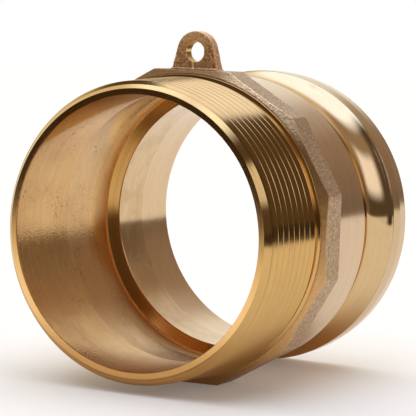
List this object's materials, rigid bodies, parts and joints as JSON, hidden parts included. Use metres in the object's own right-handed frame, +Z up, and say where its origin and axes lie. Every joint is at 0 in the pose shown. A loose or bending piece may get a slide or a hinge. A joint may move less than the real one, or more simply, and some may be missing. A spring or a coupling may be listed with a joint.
{
  "type": "camlock male adapter",
  "caption": "Brass male adapter: tapered pipe thread at one end, faceted wrench collar with a chain ear, and a grooved end that cam arms lock onto.",
  "frame": {"origin": "under the middle of the whole piece, on the plane of the wrench collar's lowest flat", "axes": "+Y along the axis from the threaded end to the cam groove end, +Z up through the chain ear, +X to the right as seen from the threaded end"},
  "size_m": [0.0928, 0.0912, 0.1043],
  "materials": {
    "cast_brass": "turned and polished brass, left as cast on the collar and the ear"
  },
  "bodies": {
    "root": {"adapter_body": "cast_brass"}
  },
  "joints": []
}
